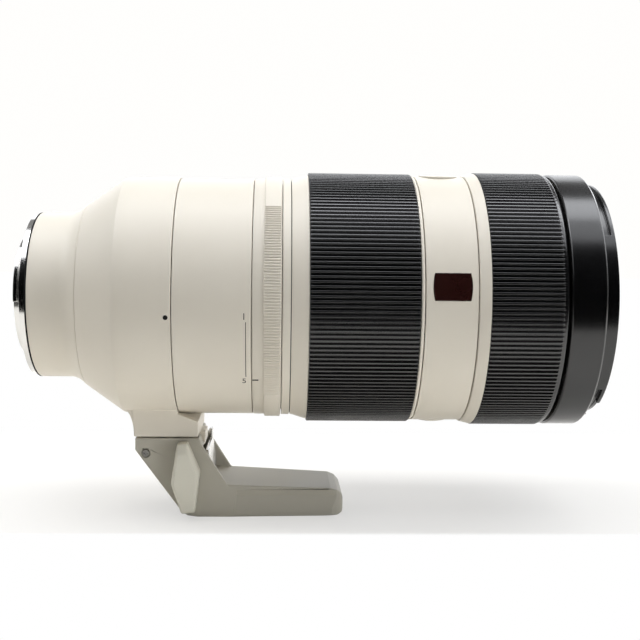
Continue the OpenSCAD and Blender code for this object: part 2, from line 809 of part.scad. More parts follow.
module index_ring() {
    color(cream) tube(x_index, x_index_end, body_r + 0.25, journal_r + fit_gap);
}

module front_sleeve() {
    window = key_half + key_room;
    color(black) difference() {
        tube(x_index_end, x_focus_end + groove_w / 2, sleeve_out, sleeve_in);
        sector(key_x - 1, window_end, sleeve_out + cut, sleeve_in - cut, -window, zoom_turn + window);
    }
}

module zoom_ring() {
    lip_r = zoom_seat + 1;
    color(cream) turn([[x_zoom, ring_in], [x_zoom_end, ring_in], [x_zoom_end, lip_r - 0.3],
        [x_zoom_end - 0.4, lip_r], [x_zoom_lip, lip_r], [x_zoom_lip, zoom_seat],
        [x_zoom_grip, zoom_seat], [x_zoom_grip, zoom_seat + 0.8],
        [x_zoom + 1, body_r + 0.3], [x_zoom, body_r + 0.2]]);
}

module zoom_grip() {
    color(black)
        ribbed(x_zoom_grip + fit_gap, x_zoom_lip - fit_gap, zoom_r, zoom_seat + fit_gap, zoom_ribs, rib_h, 0.42);
}

module cam_barrel() {
    color(black) difference() {
        union() {
            tube(cam_x0, cam_x1, cam_out, cam_in);
            sector(key_x, key_x + key_len, ring_in - fit_gap, cam_in + 0.2, -key_half, key_half);
        }
        for (a = follower_at) cam_slot(follower_x, a, zoom_travel);
        for (a = variator_at) cam_slot(variator_pin_x, a, variator_travel);
    }
}

module button_band() {
    color(cream) difference() {
        tube(x_band, x_band_end, band_r, band_in);
        for (a = [0, 90, 270])
            radial_pin(button_x, band_in - cut, band_r + cut, a + button_lean, button_r + button_gap);
    }
}

// Flat button with a rounded edge and a shallow dish
module hold_button(a) {
    top = band_r + button_proud;
    edge = 0.3;
    rim = 1.4;
    dish = 0.25;
    color(cream) rotate([a + button_lean, 0, 0]) translate([button_x, 0, 0]) rotate([-90, 0, 0])
        rotate_extrude() polygon([[0, button_floor], [button_r, button_floor],
            [button_r, top - edge], [button_r - edge, top],
            [button_r - rim, top], [0, top - dish]]);
}

module focus_ring() {
    lip_r = focus_seat + 0.7;
    color(cream) turn([[x_focus, ring_in], [x_focus_end - 0.4, ring_in], [x_focus_end - 0.4, focus_seat],
        [x_focus_grip, focus_seat], [x_focus_grip, focus_r - 0.15],
        [x_focus + 0.4, lip_r], [x_focus, lip_r - 0.3]]);
}

module focus_grip() {
    hem = 1.6;
    rib_end = x_focus_end - hem;
    color(black) union() {
        ribbed(x_focus_grip + fit_gap, rib_end, focus_r, focus_seat + fit_gap, focus_ribs, rib_h, 0.42);
        turn([[rib_end, focus_seat + fit_gap], [x_focus_end, focus_seat + fit_gap], [x_focus_end, focus_r - 0.9],
            [x_focus_end - 0.5, focus_r - 0.5], [rib_end, focus_r - 0.45]]);
    }
}

// Front barrel
seat_x = cam_x1 + 1.5;
lens_x = seat_x + 2;
lens_edge = 4;
plug_x = lens_x + lens_edge + 0.4;

module extension_tube() {
    window = key_half + key_room;
    color(black) difference() {
        turn([[x_zoom + 0.2, tube_in], [seat_x, tube_in], [seat_x, front_lens_r - 2], [lens_x, front_lens_r - 2],
            [lens_x, front_lens_r + fit_gap], [plug_x, front_lens_r + fit_gap], [plug_x, tube_out],
            [x_zoom + 0.2, tube_out]]);
        sector(x_zoom - cut, window_end, tube_out + cut, tube_in - cut, -window, zoom_turn + window);
        for (a = follower_at) radial_pin(follower_x, tube_in - cut, tube_out + cut, a, pin_r * 0.6 + shaft_gap);
    }
}

module extension_followers() {
    color(gold) for (a = follower_at) {
        radial_pin(follower_x, cam_in + 0.3, tube_in - fit_gap, a, pin_r);
        radial_pin(follower_x, tube_in - fit_gap - eps, tube_out - fit_gap, a, pin_r * 0.6);
    }
}

module front_ring() {
    lip = 1.4;
    slot_bottom = hood_r - 1.6;
    color(black) difference() {
        turn([[x_front, tube_out + fit_gap], [plug_x, tube_out + fit_gap], [plug_x, front_lens_r + 2],
            [x_tip - filter_len, front_lens_r + 2], [x_tip - filter_len, filter_r], [x_tip, filter_r],
            [x_tip, hood_r - 0.3], [x_tip - 0.3, hood_r], [x_hood, hood_r], [x_hood, front_r - 0.8],
            [x_hood - 0.8, front_r], [x_front + 0.5, front_r], [x_front, front_r - 0.5]]);
        for (a = [44, 224])
            sector(x_hood + 0.2, x_tip - lip, hood_r + cut, slot_bottom, a, a + 102);
        for (a = [56, 236])
            sector(x_tip - lip - cut, x_tip + cut, hood_r + cut, slot_bottom + 0.2, a, a + 24);
    }
}

module front_retainer() {
    x0 = plug_x + fit_gap;
    x1 = x_tip - filter_len - 0.4;
    color(black) turn([[x0, front_lens_r - 1.6], [x0, front_lens_r + 2 - fit_gap],
        [x1, front_lens_r + 2 - fit_gap],
        [x1, front_lens_r + 1.2]]);
}

module front_lens() {
    color(glass) element(lens_x, lens_x + lens_edge, front_lens_r, -0.6, 4.6);
}

// Inside groups
module guide_tube() {
    color(black) difference() {
        tube(x_bulkhead, guide_x1, guide_out, guide_in);
        for (a = variator_at) rotate([a, 0, 0]) {
            translate([variator_pin_x, guide_in - cut, -slot_half])
                cube([variator_travel, guide_wall + 2 * cut, 2 * slot_half]);
            for (s = [0, variator_travel])
                radial_pin(variator_pin_x + s, guide_in - cut, guide_out + cut, 0, slot_half);
        }
    }
}

rod_at = [90, 270];
rod_ring = 0.835 * cell_r;
focus_lens_r = 0.69 * cell_r;

module focus_rods() {
    color(steel) for (a = rod_at) rotate([a, 0, 0]) translate([x_bulkhead, rod_ring, 0]) on_axis()
        cylinder(h = iris_x - x_bulkhead, r = pin_r);
}

module focus_cell() {
    color(black) difference() {
        cell(focus_cell_x, focus_cell_x + focus_cell_len, cell_r - 2, focus_lens_r + fit_gap,
            focus_lens_r - 2, 3);
        for (a = rod_at) rotate([a, 0, 0]) translate([focus_cell_x - cut, rod_ring, 0]) on_axis()
            cylinder(h = focus_cell_len + 2 * cut, r = pin_r + shaft_gap);
    }
}

module focus_lens() {
    color(glass) element(focus_cell_x + 3, focus_cell_x + 7, focus_lens_r, -1.4, 1.8);
}

module iris_housing() {
    rim = cell_r - 1.2;
    color(black) union() {
        turn([[iris_x, iris_r], [iris_x + iris_plate, iris_r], [iris_x + iris_plate, rim], [iris_end, rim],
            [iris_end, cell_r], [iris_x, cell_r]]);
        for (i = [1:blade_count]) rotate([360 / blade_count * i, 0, 0])
            translate([iris_x + iris_plate - eps, pivot_r, 0]) on_axis()
                cylinder(h = drive_x - iris_x - iris_plate - 0.1, r = blade_pin_r);
    }
}

module iris_drive_ring() {
    hole_ring = pivot_r + drive_arm * (1 + cos(blade_lead)) / 2;
    color(steel) difference() {
        tube(drive_x, drive_x + drive_t, cell_r - 1.5, pivot_r + 1.5);
        for (i = [1:blade_count]) rotate([360 / blade_count * i - drive_lag, 0, 0])
            translate([drive_x - cut, hole_ring, 0]) on_axis() cylinder(h = drive_t + 2 * cut, r = drive_hole_r);
    }
}

// Curved blade on its pivot, in its own layer, with the pin that the drive ring moves
module iris_blade(i) {
    x = blade_x + (i - 1) * blade_pitch;
    steps = 14;
    out_r = pivot_r - 2.5;
    in_r = iris_r + 0.5;
    band = concat([for (k = [0:steps]) out_r * [cos(blade_arc * k / steps), sin(blade_arc * k / steps)]],
        [for (k = [steps:-1:0]) in_r * [cos(blade_arc * k / steps), sin(blade_arc * k / steps)]]);
    color(black) rotate([360 / blade_count * i, 0, 0]) difference() {
        translate([x, 0, 0]) on_axis() union() {
            linear_extrude(blade_t) polygon(band);
            translate([pivot_r, 0, 0]) cylinder(h = blade_t, r = 3);
            translate([pivot_r, 0, 0]) rotate(-blade_lead) translate([drive_arm, 0, 0]) {
                cylinder(h = blade_t, r = 1.7);
                cylinder(h = drive_x + drive_t - 0.2 - x, r = drive_pin_r);
            }
        }
        translate([x - cut, pivot_r, 0]) on_axis() cylinder(h = blade_t + 2 * cut, r = blade_pin_r + shaft_gap);
    }
}

oss_lens_r = 0.59 * cell_r;

module oss_base() {
    color(black) tube(oss_x, oss_x + oss_base_t, cell_r, oss_lens_r + 1.5);
}

module oss_frame() {
    color(black) tube(oss_frame_x, oss_frame_x + oss_frame_t, cell_r - 2.8, oss_lens_r + 1);
}

module oss_cell() {
    color(black)
        cell(oss_cell_x, oss_cell_x + oss_cell_t, cell_r - 6, oss_lens_r + fit_gap, oss_lens_r - 1.5, 2);
}

module oss_lens() {
    color(glass) element(oss_cell_x + 2, oss_cell_x + 5, oss_lens_r, -0.8, 1.2);
}

variator_lens_r = 0.835 * cell_r;

module variator_cell() {
    color(black) union() {
        cell(variator_x, variator_x + variator_len, cell_r, variator_lens_r + fit_gap, variator_lens_r - 2, 3);
        for (a = variator_at) radial_pin(variator_pin_x, cell_r - 1, cam_out - 0.3, a, pin_r);
    }
}

module variator_lens() {
    color(glass) element(variator_x + 3, variator_x + 8, variator_lens_r, -1.6, 2.2);
}

mount_bayonet();
mount_screws();
contact_block();
contact_pins();
rear_baffle();
mount_seal();
rear_barrel();
circuit_board();
rear_lens_cell();
rear_lens();
body_shell();
switch_panel();
slider(switch_at[0]);  // focus_mode_switch
slider(switch_at[1]);  // range_switch
slider(switch_at[2]);  // stabiliser_switch
slider(switch_at[3]);  // stabiliser_mode_switch
collar_ring();
collar_knob();
foot();
foot_stop_screw();
foot_clamp_jaw();
foot_knob();
tension_ring();
index_ring();
front_sleeve();
button_band();
hold_button(90);  // hold_button_top
hold_button(0);  // hold_button_side
hold_button(270);  // hold_button_bottom
zoom_ring();
zoom_grip();
cam_barrel();
focus_ring();
focus_grip();
extension_tube();
extension_followers();
front_ring();
front_retainer();
front_lens();
guide_tube();
focus_rods();
focus_cell();
focus_lens();
iris_housing();
iris_drive_ring();
for (i = [1:blade_count]) {
    iris_blade(i);
}
oss_base();
oss_frame();
oss_cell();
oss_lens();
variator_cell();
variator_lens();
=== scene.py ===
"""Telephoto zoom lens with a rotating collar and a foot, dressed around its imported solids."""

import math

import bmesh
import bpy
import numpy as np
from mathutils import Matrix, Vector


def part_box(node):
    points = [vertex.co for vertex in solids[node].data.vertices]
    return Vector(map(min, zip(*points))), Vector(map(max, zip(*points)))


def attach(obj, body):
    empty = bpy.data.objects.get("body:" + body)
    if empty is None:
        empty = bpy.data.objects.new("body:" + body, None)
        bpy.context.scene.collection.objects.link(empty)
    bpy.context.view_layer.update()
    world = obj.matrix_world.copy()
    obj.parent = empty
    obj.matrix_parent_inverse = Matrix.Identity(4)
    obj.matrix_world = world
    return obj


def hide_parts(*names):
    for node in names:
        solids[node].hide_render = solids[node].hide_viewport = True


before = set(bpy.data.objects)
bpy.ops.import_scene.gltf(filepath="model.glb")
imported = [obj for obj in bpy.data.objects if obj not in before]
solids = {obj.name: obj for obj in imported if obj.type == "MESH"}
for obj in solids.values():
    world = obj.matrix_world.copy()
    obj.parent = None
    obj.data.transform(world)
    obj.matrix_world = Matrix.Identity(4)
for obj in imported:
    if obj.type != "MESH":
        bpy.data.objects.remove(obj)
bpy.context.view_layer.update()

# Camera mount
# Bayonet ring turned from brass and chromed, with three lugs behind the flange.
# Four cross-head screws pull it onto the rear barrel; a row of gold pins and a
# moulded light baffle sit in its throat.
MM = 0.001
scene = bpy.context.scene
drift_low, drift_high = 0.32, 0.68
merge_gap, flat_turn, flat_pull = 0.002 * MM, math.radians(0.6), 80


def node(tree, kind, inputs=(), **settings):
    """Adds a shader node, sets its options, and fills or links its inputs by name."""
    made = tree.nodes.new("ShaderNode" + kind)
    for key, value in settings.items():
        setattr(made, key, value)
    for key, value in dict(inputs).items():
        if isinstance(value, bpy.types.NodeSocket):
            tree.links.new(value, made.inputs[key])
        else:
            made.inputs[key].default_value = value
    return made


def shades(tree, factor, low, high, first, second):
    """A colour that goes from first to second as factor goes from low to high."""
    ramp = node(tree, "ValToRGB", {"Fac": factor})
    for stop, place, colour in zip(ramp.color_ramp.elements, (low, high), (first, second)):
        stop.position = place
        stop.color = (*colour, 1.0)
    return ramp.outputs["Color"]


def new_finish(name):
    """An empty material, its node tree, its main shader, and the Object coordinates it is drawn on."""
    material = bpy.data.materials.new(name)
    material.use_nodes = True
    tree = material.node_tree
    return material, tree, tree.nodes["Principled BSDF"], node(tree, "TexCoord").outputs["Object"]


def axis_distance(tree, place):
    """How far the points of place lie from the optical axis."""
    flat = node(tree, "VectorMath", {0: place, 1: (0, 1, 1)}, operation="MULTIPLY")
    return node(tree, "VectorMath", {0: flat.outputs["Vector"]}, operation="LENGTH").outputs["Value"]


def finish(name, first, second, rough, grain, depth, patch=40.0, pull=(1, 1, 1), fixed=(), lathe=False):
    """A finish on Object coordinates. Its colour drifts from first to second over patches, patch of
    them to the metre, roughness drifts between the two rough values, and grain bumps to the metre
    stand depth high. pull stretches the bumps; lathe lays them in rings about the optical axis."""
    material, tree, main, place = new_finish(name)
    drift = node(tree, "TexNoise", {"Vector": place, "Scale": patch, "Detail": 4.0}).outputs["Fac"]
    tree.links.new(shades(tree, drift, drift_low, drift_high, first, second), main.inputs["Base Color"])
    spread = node(tree, "MapRange", {"Value": drift, "From Min": drift_low, "From Max": drift_high,
                                     "To Min": rough[0], "To Max": rough[1]})
    tree.links.new(spread.outputs["Result"], main.inputs["Roughness"])
    if lathe:
        along = node(tree, "SeparateXYZ", {"Vector": place}).outputs["X"]
        place = node(tree, "CombineXYZ", {"X": along, "Y": axis_distance(tree, place)}).outputs["Vector"]
    pulled = node(tree, "Mapping", {"Vector": place, "Scale": pull})
    bumps = node(tree, "TexNoise", {"Vector": pulled.outputs["Vector"], "Scale": grain, "Detail": 2.0})
    relief = node(tree, "Bump", {"Height": bumps.outputs["Fac"], "Strength": 1.0, "Distance": depth})
    tree.links.new(relief.outputs["Normal"], main.inputs["Normal"])
    for key, value in dict(fixed).items():
        main.inputs[key].default_value = value
    return material


def dress(material, *names):
    """Gives CAD nodes a finish."""
    for name in names:
        for held in solids[name].material_slots:
            held.material = material


def placed(name, data):
    """Links new data into the scene as an object."""
    made = bpy.data.objects.new(name, data)
    scene.collection.objects.link(made)
    return made


def piece(name, mesh, material, body, slot, *stands_for):
    """Links a finished mesh as a piece of the lens: its finish, its body, and what it stands for; slot is not
    used.
    """
    made = placed(name, mesh)
    mesh.materials.clear()
    mesh.materials.append(material)
    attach(made, body)
    if stands_for:
        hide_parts(*stands_for)
    return made


def softened(node_name, width, material, body, slot, steps=2, bend=28, crease=180):
    """A copy of a CAD solid with its points merged, its flat faces made whole, and every edge that
    turns by more than bend degrees rounded over width. One that turns by more than crease stays crisp."""
    shape = bmesh.new()
    shape.from_mesh(solids[node_name].data)
    bmesh.ops.remove_doubles(shape, verts=shape.verts, dist=merge_gap)
    bmesh.ops.dissolve_limit(shape, angle_limit=flat_turn, verts=shape.verts, edges=shape.edges)
    mesh = bpy.data.meshes.new(node_name + "_soft")
    shape.to_mesh(mesh)
    shape.free()
    for layer in [a.name for a in mesh.attributes if a.name in ("custom_normal", "sharp_face", "sharp_edge")]:
        mesh.attributes.remove(mesh.attributes[layer])
    mesh.shade_smooth()
    mesh.set_sharp_from_angle(angle=math.radians(crease))
    made = piece(node_name + "_soft", mesh, material, body, slot, node_name)
    edge = made.modifiers.new("edges", "BEVEL")
    edge.width = width
    edge.segments = steps
    edge.limit_method = "ANGLE"
    edge.angle_limit = math.radians(bend)
    edge.use_clamp_overlap = False
    flat = made.modifiers.new("flats", "WEIGHTED_NORMAL")
    flat.weight = flat_pull
    flat.keep_sharp = True


chrome = finish("chromed_brass", (0.72, 0.71, 0.69), (0.80, 0.79, 0.77), (0.13, 0.2), 9000, 0.002 * MM,
                fixed={"Metallic": 1.0}, lathe=True)
screw_steel = finish("plated_screw_steel", (0.62, 0.61, 0.59), (0.72, 0.71, 0.7), (0.22, 0.3),
                     5000, 0.004 * MM, fixed={"Metallic": 1.0})
gold = finish("gilded_contact", (0.83, 0.6, 0.24), (0.9, 0.68, 0.3), (0.18, 0.28), 6000, 0.003 * MM,
              fixed={"Metallic": 1.0})
moulded_black = finish("moulded_black_resin", (0.012, 0.012, 0.012), (0.02, 0.02, 0.02), (0.5, 0.62),
                       4500, 0.01 * MM)
flocked = finish("flocked_black", (0.006, 0.006, 0.006), (0.012, 0.012, 0.012), (0.85, 0.95),
                 9000, 0.03 * MM, fixed={"Specular IOR Level": 0.2})
softened("mount_bayonet", 0.15 * MM, chrome, "barrel", "mount_steel")
dress(screw_steel, "mount_screws")
dress(gold, "contact_pins")
dress(moulded_black, "contact_block")
dress(flocked, "rear_baffle")

# Mount seal
# Thin black rubber ring, moulded with a round lip, that lies between the flange
# and the rear barrel and keeps water out.


def points_of(node_name):
    """A CAD node's points, one to a row."""
    return np.array([v.co for v in solids[node_name].data.vertices])


def reach(node_name):
    """A turned CAD node's first and last station on the axis, and its bore and outer radius."""
    points = points_of(node_name)
    radius = np.hypot(points[:, 1], points[:, 2])
    return points[:, 0].min(), points[:, 0].max(), radius.min(), radius.max()


def woven(name, points, round_u=False, round_v=False, caps=False):
    """A smooth mesh over a grid of points, joined round where asked. caps closes the two ends along u
    with one face each. The mesh is turned so that its faces point outwards: its signed volume is positive."""
    rows, columns = points.shape[:2]
    index = np.arange(rows * columns).reshape(rows, columns)
    lids = [index[0].tolist(), index[-1][::-1].tolist()] if caps else []
    if round_u:
        index = np.vstack([index, index[:1]])
    if round_v:
        index = np.hstack([index, index[:, :1]])
    quads = np.stack([index[:-1, :-1], index[1:, :-1], index[1:, 1:], index[:-1, 1:]], -1).reshape(-1, 4)
    spots = points.reshape(-1, 3)
    a, b, c, d = (spots[quads[:, k]] - spots.mean(0) for k in range(4))
    volume = (np.cross(a, b) * c).sum() + (np.cross(a, c) * d).sum()
    mesh = bpy.data.meshes.new(name)
    mesh.from_pydata(spots.tolist(), [], quads.tolist() + lids)
    if volume < 0:
        mesh.flip_normals()
    mesh.shade_smooth()
    return mesh


def on_face(origin, across, up):
    """Places flat (u, v, h): u along across, v along up, and h along their cross product."""
    base, right, rise = (np.array(v, float) for v in (origin, across, up))
    out = np.cross(right, rise)
    outer = np.multiply.outer
    return lambda u, v, h: base + outer(u, right) + outer(v, rise) + outer(h, out)


def turned(name, outline, angles, lay, relief=None, whole=True):
    """A closed profile turned about an axis: outline point (h, r) goes to (r cos a, r sin a, h) for each
    angle a. A third column of the outline is how far relief, a depth for each angle, cuts into that point."""
    station, radius = np.array(outline, float)[:, :2].T
    spread = np.repeat(radius[None, :], len(angles), 0)
    if relief is not None:
        spread = spread - relief[:, None] * np.array(outline, float)[None, :, 2]
    points = lay(spread * np.cos(angles)[:, None], spread * np.sin(angles)[:, None],
                 np.repeat(station[None, :], len(angles), 0))
    return woven(name, points, round_u=whole, round_v=True, caps=not whole)


def rounded(outline, radius, steps=3, most=0.45):
    """A closed outline with each corner swapped for an arc: a quadratic curve from radius before the
    corner to radius after it, or to the share most of the side where that is shorter."""
    corner = np.array(outline, float)
    before, after = np.roll(corner, 1, 0) - corner, np.roll(corner, -1, 0) - corner
    cut_b, cut_a = (v * np.minimum(radius / np.hypot(v[:, 0], v[:, 1]), most)[:, None]
                    for v in (before, after))
    t = np.linspace(0, 1, steps + 1)[None, :, None]
    arc = corner[:, None] + (1 - t) ** 2 * cut_b[:, None] + t ** 2 * cut_a[:, None]
    return arc.reshape(-1, 2)


def even_angles(count):
    """A whole turn in count even steps."""
    return np.arange(count) * 2 * math.pi / count


def ring_section(x0, x1, inner, outer):
    """A plain ring's cross-section as a closed outline."""
    return [(x0, inner), (x1, inner), (x1, outer), (x0, outer)]


lens_axis = on_face((0, 0, 0), (0, 1, 0), (0, 0, 1))
full_turn = even_angles(240)
seal_rubber = finish("seal_rubber", (0.005, 0.005, 0.005), (0.008, 0.008, 0.008), (0.7, 0.85),
                     6000, 0.004 * MM, fixed={"Specular IOR Level": 0.2})
seal_x0, seal_x1, seal_in, seal_out = reach("mount_seal")
seal_lip = 0.2 * MM
seal_line = rounded(ring_section(seal_x0, seal_x1, seal_in, seal_out), seal_lip)
piece("mount_seal_lip", turned("mount_seal_lip", seal_line, full_turn, lens_axis), seal_rubber,
      "barrel", "ribbed_rubber", "mount_seal")

# Rear barrel
# Magnesium casting turned to a straight neck that flares up to the collar, and
# sprayed in warm white. A small white bead by the mount marks where to join.
cream_paint = finish("warm_white_paint", (0.715, 0.663, 0.565), (0.735, 0.685, 0.587), (0.42, 0.5),
                     1500, 0.004 * MM, fixed={"Specular IOR Level": 0.45})
softened("rear_barrel", 0.18 * MM, cream_paint, "barrel", "cream_paint")


def raised(name, outline, rings, lay, hollow=False):
    """A low form over a flat outline: for each ring (share, height) the outline is drawn at that share
    of its size and that height. The first and last rings are closed, or joined where it is hollow."""
    flat = np.array(outline, float)
    share, height = np.array(rings, float).T
    points = lay(share[:, None] * flat[None, :, 0], share[:, None] * flat[None, :, 1],
                 np.repeat(height[:, None], len(flat), 1))
    return woven(name, points, round_u=hollow, round_v=True, caps=not hollow)


def disc(radius, steps=48):
    """A circle as a closed outline."""
    angles = even_angles(steps)
    return np.stack([radius * np.cos(angles), radius * np.sin(angles)], -1)


white_enamel = finish("white_enamel", (0.8, 0.8, 0.79), (0.84, 0.84, 0.83), (0.25, 0.32), 2500, 0.004 * MM)
bead_r, bead_ahead = 1.1 * MM, 4.2 * MM
bead_face = on_face((reach("rear_barrel")[0] + bead_ahead, 0, seal_out), (1, 0, 0), (0, 1, 0))
bead_rings = [(1, -0.15 * MM), (1, 0.05 * MM), (0.93, 0.18 * MM), (0.75, 0.28 * MM),
              (0.4, 0.34 * MM), (0.1, 0.35 * MM)]
piece("mount_index_bead", raised("mount_index_bead", disc(bead_r), bead_rings, bead_face), white_enamel,
      "barrel", "cream_plastic")

# Rear optics and circuits
# The last lens group in its blackened cell, and the ring-shaped main board that
# lies on the shelf in front of it.
amber_coat, green_coat = (0.36, 0.21, 0.12), (0.1, 0.3, 0.19)
glass_tone, edge_tone = (0.93, 0.97, 0.95), (0.01, 0.01, 0.01)
edge_start, edge_full, edge_bevel = 0.965, 0.99, 0.2 * MM


def coated(name, tint, radius):
    """Optical glass: clear in the middle, with the edge of an element of this radius blackened, under
    a thin coating that tints what it mirrors."""
    material, tree, main, place = new_finish(name)
    share = node(tree, "MapRange", {"Value": axis_distance(tree, place), "From Min": 0.0, "From Max": radius})
    tree.links.new(shades(tree, share.outputs["Result"], edge_start, edge_full, glass_tone, edge_tone),
                   main.inputs["Base Color"])
    for key, value in {"Roughness": 0.0, "IOR": 1.52, "Transmission Weight": 1.0,
                       "Specular Tint": (*tint, 1.0)}.items():
        main.inputs[key].default_value = value
    return material


def spun(name, outline, angles, lay, relief=None):
    """An open profile, whose ends lie by its axis, turned whole: outline point (h, r) goes to
    (r cos a, r sin a, h). A third column of the outline is how far relief cuts into that point."""
    line = np.array(outline, float)
    spread = np.repeat(line[:, 1:2], len(angles), 1)
    if relief is not None:
        spread = spread - line[:, 2:3] * relief
    points = lay(spread * np.cos(angles), spread * np.sin(angles), np.repeat(line[:, :1], len(angles), 1))
    return woven(name, points, round_v=True, caps=True)


def element(node_name, rear_sag, front_sag, material, body):
    """A lens element: a disc whose two faces are turned from parabolas, sag deep at the axis, with a
    narrow bevel round each edge. A sag below zero is a hollow."""
    x0, x1, _, radius = reach(node_name)
    rim0 = x0 + max(rear_sag, 0)
    rim1 = x1 - max(front_sag, 0)
    r = np.linspace(0.002, 0.994, 40)
    rear = np.stack([rim0 - rear_sag * (1 - r ** 2), radius * r], -1)
    front = np.stack([rim1 + front_sag * (1 - r ** 2), radius * r], -1)[::-1]
    edge = [(rim0 + edge_bevel, radius), (rim1 - edge_bevel, radius)]
    mesh = spun(node_name + "_glass", np.vstack([rear, edge, front]), full_turn, lens_axis)
    piece(node_name + "_glass", mesh, material, body, "coated_glass", node_name)


rear_glass = coated("rear_glass", green_coat, reach("rear_lens")[3])
element("rear_lens", -1.2 * MM, 2.4 * MM, rear_glass, "barrel")
blackened = finish("blackened_alloy", (0.012, 0.012, 0.012), (0.018, 0.018, 0.019), (0.55, 0.7),
                   5000, 0.006 * MM, lathe=True)
dress(blackened, "rear_lens_cell")
solder_mask = finish("green_solder_mask", (0.008, 0.09, 0.035), (0.02, 0.16, 0.06), (0.25, 0.4),
                     700, 0.02 * MM, patch=420, pull=(1, 3, 3))
dress(solder_mask, "circuit_board")

# Tripod collar
# Cast ring that turns about the rear barrel, coned at the back, with a block
# below that the foot's rail hangs from. A knurled knob on the far side locks it.
collar_round = 0.3 * MM
softened("collar_ring", collar_round, cream_paint, "collar", "cream_paint", steps=3, bend=55)
print_ink = finish("dark_print_ink", (0.006, 0.0055, 0.005), (0.01, 0.0095, 0.009), (0.55, 0.7),
                   3000, 0.002 * MM, fixed={"Specular IOR Level": 0.2})
INK = 0.03 * MM


def on_barrel(station, elevation, radius):
    """Lays flat (u, v, h) on a barrel: u along the axis, v up round the near side, h outwards.
    Elevation is in degrees above the horizon of the near side."""

    def lay(u, v, h):
        angle = math.pi - math.radians(elevation) - np.asarray(v) / radius
        out = radius + h
        return np.stack([station + np.asarray(u), out * np.cos(angle), out * np.sin(angle)], -1)

    return lay


collar_points = points_of("collar_ring")
collar_x0 = collar_points[:, 0].min()
back_slack, seam_gap, seam_back, seam_deep = 0.02 * MM, 0.03 * MM, 0.4 * MM, 0.9 * MM
at_back = collar_points[:, 0] < collar_x0 + back_slack
seam_r = np.hypot(collar_points[at_back, 1], collar_points[at_back, 2]).max() - collar_round
seam_line = ring_section(collar_x0 - seam_back, collar_x0 - seam_gap, seam_r - seam_deep, seam_r)
piece("collar_seam_fill", turned("collar_seam_fill", seam_line, full_turn, lens_axis), cream_paint,
      "barrel", "cream_paint")
body_x0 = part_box("body_shell")[0][0]
body_r = reach("body_shell")[3]
collar_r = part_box("collar_ring")[1][2]
dot_r, dot_back, dot_elevation = 0.82 * MM, 1.95 * MM, -6.75
dot_rings = [(1, -INK), (1, 0.6 * INK), (0.98, INK), (0.93, INK), (0.05, INK)]
dot_face = on_barrel(body_x0 - dot_back, dot_elevation, collar_r)
piece("collar_index_dot", raised("collar_index_dot", disc(dot_r), dot_rings, dot_face), print_ink,
      "collar", "black_plastic")

knob_low, knob_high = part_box("collar_knob")
knob_r = (knob_high[0] - knob_low[0]) / 2
knob_face = on_face(((knob_low[0] + knob_high[0]) / 2, knob_high[1], 0), (-1, 0, 0), (0, 0, 1))
flutes, flute_samples, flute_depth, flute_power = 36, 10, 0.5 * MM, 1.6
knob_turn = even_angles(flutes * flute_samples)
flute_cut = flute_depth * (0.5 - 0.5 * np.cos(flutes * knob_turn)) ** flute_power
knob_h, stem_h = 9 * MM, 3 * MM
knob_line = [(-knob_h - stem_h, 0.3, 0), (-knob_h, 0.3, 0), (-knob_h, 0.88, 0),
             (-knob_h + 0.5 * MM, 0.96, 0.4), (-knob_h + 1.1 * MM, 1, 1), (-1.3 * MM, 1, 1),
             (-0.6 * MM, 0.975, 0.5), (-0.15 * MM, 0.93, 0),
             (0, 0.88, 0), (0, 0.76, 0), (-0.12 * MM, 0.735, 0), (-0.6 * MM, 0.715, 0), (-0.7 * MM, 0.68, 0),
             (-0.55 * MM, 0.3, 0), (-0.5 * MM, 0.02, 0)]
knob_line = np.array(knob_line) * (1, knob_r, 1)
piece("collar_knob_fluted", spun("collar_knob_fluted", knob_line, knob_turn, knob_face, flute_cut),
      cream_paint, "collar_lock", "cream_paint", "collar_knob")

# Foot
# Milled alloy foot in a greyer coat, hung on the block by a dovetail and drawn
# tight by a six-sided knob. A cross-head stop screw and a steel jaw show in it.
foot_paint = finish("warm_grey_paint", (0.44, 0.417, 0.351), (0.463, 0.439, 0.37), (0.46, 0.56),
                    1900, 0.006 * MM, fixed={"Specular IOR Level": 0.4})
knob_paint = finish("pale_grey_paint", (0.635, 0.614, 0.52), (0.658, 0.635, 0.54), (0.44, 0.52),
                    1900, 0.005 * MM, fixed={"Specular IOR Level": 0.4})
ground_steel = finish("ground_steel", (0.7, 0.69, 0.67), (0.8, 0.79, 0.77), (0.2, 0.32), 700, 0.01 * MM,
                      pull=(1, 14, 1), fixed={"Metallic": 1.0})
softened("foot", 0.5 * MM, foot_paint, "foot", "foot_paint", steps=3, bend=50, crease=8)
softened("foot_knob", 0.55 * MM, knob_paint, "foot_clamp", "foot_paint", steps=3, bend=20)
softened("foot_clamp_jaw", 0.35 * MM, ground_steel, "foot_jaw", "bright_steel")
burnished = finish("burnished_screw_steel", (0.26, 0.25, 0.235), (0.34, 0.33, 0.31), (0.34, 0.44),
                   5000, 0.003 * MM, fixed={"Metallic": 1.0})
dress(burnished, "foot_stop_screw")

# Fixed body
# Sprayed alloy shell in front of the collar, with a panel of four slide switches
# let into its far side and a short printed scale for the tension ring.
softened("body_shell", 0.15 * MM, cream_paint, "barrel", "cream_paint")
resin_tones = (0.70, 0.655, 0.563), (0.72, 0.675, 0.583)
cream_resin = finish("warm_white_resin", *resin_tones, (0.4, 0.48), 2600, 0.004 * MM,
                     fixed={"Specular IOR Level": 0.5})
softened("switch_panel", 0.2 * MM, cream_resin, "barrel", "cream_plastic")
switches = "focus_mode_switch", "range_switch", "stabiliser_switch", "stabiliser_mode_switch"
for count, name in enumerate(switches, 1):
    softened(name, 0.15 * MM, moulded_black, f"switch_{count}", "black_plastic")


